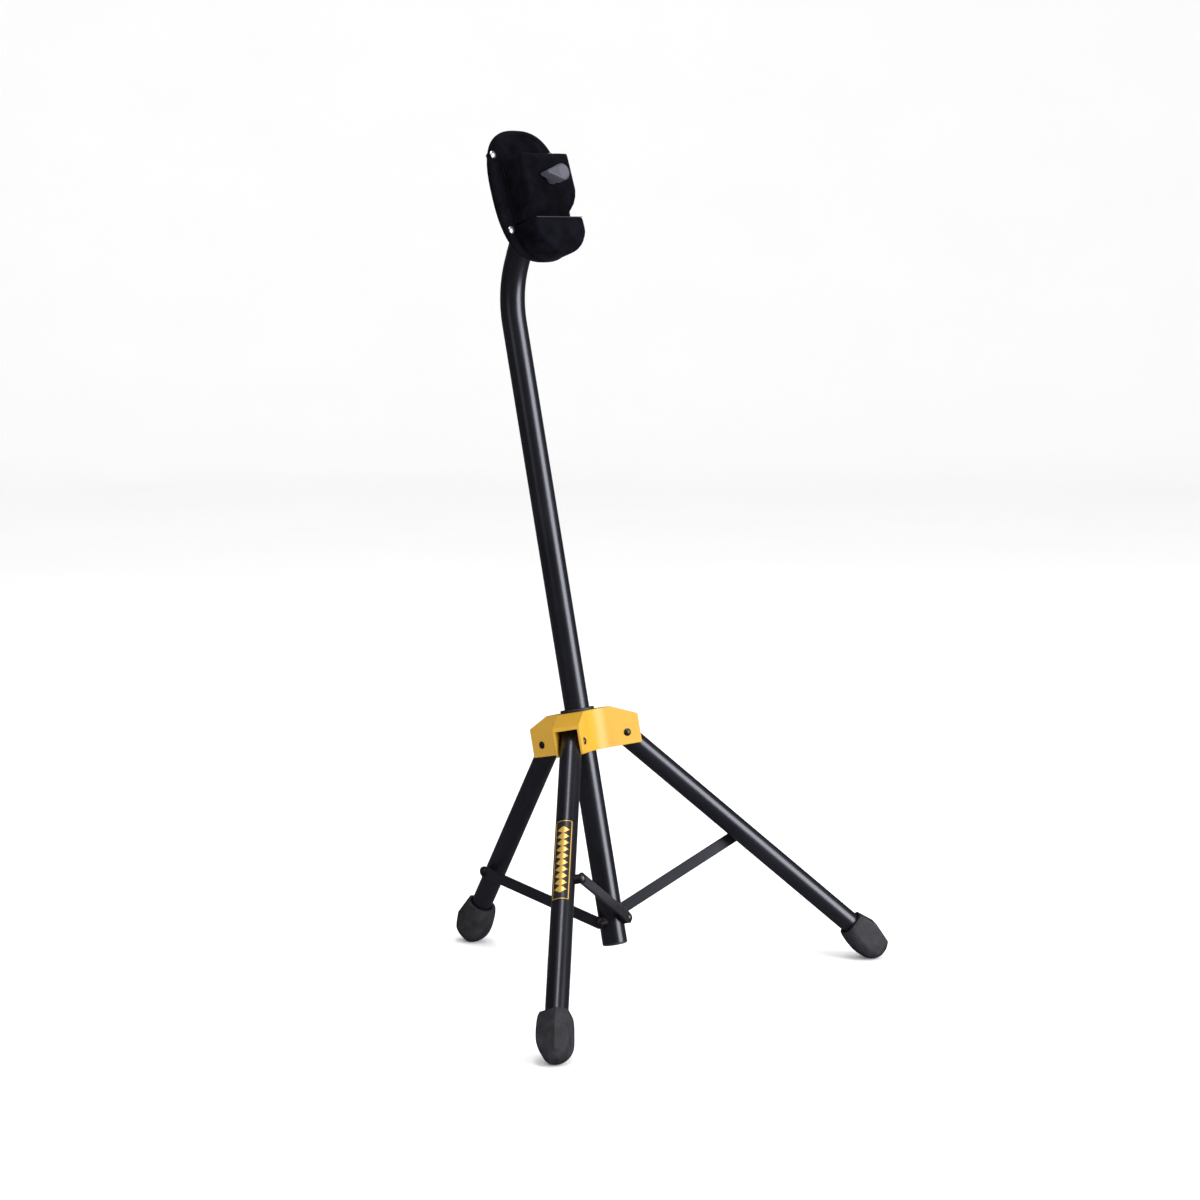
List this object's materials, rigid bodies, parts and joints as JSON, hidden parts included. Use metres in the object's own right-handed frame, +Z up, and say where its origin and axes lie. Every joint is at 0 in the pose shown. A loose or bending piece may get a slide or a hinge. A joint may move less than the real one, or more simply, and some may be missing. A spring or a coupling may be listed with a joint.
{
  "type": "horn stand",
  "caption": "Folding tripod stand with a leaning mast and a velvet bell rest that holds a horn by the rim of its bell.",
  "frame": {"origin": "on the floor at the middle of the stand's footprint", "axes": "+Z up, -Y towards the horn and the two front legs, +X to the right as seen from the horn's side"},
  "size_m": [0.4423, 0.334, 0.7386],
  "materials": {
    "black_powder_coat": "gloss black powder coat",
    "yellow_paint": "satin yellow paint",
    "bare_steel": "zinc-plated steel",
    "dark_steel": "blackened steel",
    "silver_rivet": "bright nickel",
    "black_plastic": "moulded",
    "knob_plastic": "moulded, fine grain",
    "black_rubber": "moulded",
    "black_velvet": "velvet",
    "plate_paint": "satin black",
    "gold_foil": "gold foil on black",
    "brass": "machined"
  },
  "bodies": {
    "mast": {"mast_tube": "black_powder_coat", "mast_end_plug": "black_plastic", "mast_top_screws": "bare_steel", "brace_hub_rivets": "dark_steel", "brace_hub_spacers": "dark_steel", "rest_bracket": "black_plastic", "rest_bracket_screws": "bare_steel", "rest_plate": "plate_paint", "rest_pad": "black_velvet", "rest_plate_rivets": "silver_rivet", "lip_core": "black_plastic", "lip_cover": "black_velvet", "lip_screws": "bare_steel"},
    "yoke": {"yoke": "yellow_paint", "yoke_bushing": "black_plastic", "yoke_lock_nut": "bare_steel", "leg_pivot_pins": "dark_steel"},
    "yoke_lock": {"yoke_lock_screw": "bare_steel", "yoke_lock_knob": "knob_plastic"},
    "rest_block": {"block_core": "black_plastic", "block_cover": "black_velvet", "clamp_bolt": "bare_steel"},
    "wing_knob": {"wing_knob": "knob_plastic", "wing_knob_insert": "brass", "wing_knob_cap": "knob_plastic"},
    "front_left_leg": {"front_left_leg_tube": "black_powder_coat", "front_left_leg_plug": "black_plastic", "front_left_leg_stud": "dark_steel", "front_left_foot": "black_rubber", "leg_badge": "gold_foil"},
    "front_left_brace": {"front_left_brace": "black_powder_coat", "front_left_brace_rivet": "dark_steel"},
    "front_right_leg": {"front_right_leg_tube": "black_powder_coat", "front_right_leg_plug": "black_plastic", "front_right_leg_stud": "dark_steel", "front_right_foot": "black_rubber"},
    "front_right_brace": {"front_right_brace": "black_powder_coat", "front_right_brace_rivet": "dark_steel"},
    "back_leg": {"back_leg_tube": "black_powder_coat", "back_leg_plug": "black_plastic", "back_leg_stud": "dark_steel", "back_foot": "black_rubber"},
    "back_brace": {"back_brace": "black_powder_coat", "back_brace_rivet": "dark_steel"}
  },
  "joints": [
    {"name": "yoke_slide", "type": "slide", "parent": "mast", "child": "yoke", "axis": [0, 0.2192, 0.9757], "range_m": [0, 0.12329]},
    {"name": "front_left_leg_hinge", "type": "hinge", "parent": "yoke", "child": "front_left_leg", "pos_m": [-0.03343, -0.00616, 0.21259], "axis": [0.5, -0.845, 0.1898], "range_deg": [0, 41.7]},
    {"name": "front_left_brace_hinge", "type": "hinge", "parent": "mast", "child": "front_left_brace", "pos_m": [0.0073, -0.03483, 0.05457], "axis": [-0.5, 0.845, -0.1898], "range_deg": [0, 53.26]},
    {"name": "front_right_leg_hinge", "type": "hinge", "parent": "yoke", "child": "front_right_leg", "pos_m": [0.03343, -0.00616, 0.21259], "axis": [0.5, 0.845, -0.1898], "range_deg": [0, 41.7]},
    {"name": "front_right_brace_hinge", "type": "hinge", "parent": "mast", "child": "front_right_brace", "pos_m": [0.0073, -0.01016, 0.04903], "axis": [-0.5, -0.845, 0.1898], "range_deg": [0, 53.26]},
    {"name": "back_leg_hinge", "type": "hinge", "parent": "yoke", "child": "back_leg", "pos_m": [0, 0.05033, 0.1999], "axis": [-1, 0, 0], "range_deg": [0, 41.7]},
    {"name": "back_brace_hinge", "type": "hinge", "parent": "mast", "child": "back_brace", "pos_m": [-0.0146, -0.0225, 0.0518], "axis": [1, 0, 0], "range_deg": [0, 53.26]},
    {"name": "yoke_lock_turn", "type": "hinge", "parent": "yoke", "child": "yoke_lock", "pos_m": [0.02165, 0.0264, 0.21245], "axis": [0.866, 0.4878, -0.1096], "range_deg": [0, 720]},
    {"name": "rest_block_slide", "type": "slide", "parent": "mast", "child": "rest_block", "axis": [0, 0.31, 0.9507], "range_m": [0, 0.02]},
    {"name": "wing_knob_turn", "type": "hinge", "parent": "rest_block", "child": "wing_knob", "pos_m": [0, 0.04923, 0.69707], "axis": [0, -0.9507, 0.31], "range_deg": [0, 540]}
  ],
  "couplings": [
    {"joint": "front_left_leg_hinge", "follows": "yoke_slide", "rad_per_m": 5.8961},
    {"joint": "front_left_brace_hinge", "follows": "yoke_slide", "rad_per_m": 7.5324},
    {"joint": "front_right_leg_hinge", "follows": "yoke_slide", "rad_per_m": 5.8961},
    {"joint": "front_right_brace_hinge", "follows": "yoke_slide", "rad_per_m": 7.5324},
    {"joint": "back_leg_hinge", "follows": "yoke_slide", "rad_per_m": 5.8961},
    {"joint": "back_brace_hinge", "follows": "yoke_slide", "rad_per_m": 7.5324}
  ]
}
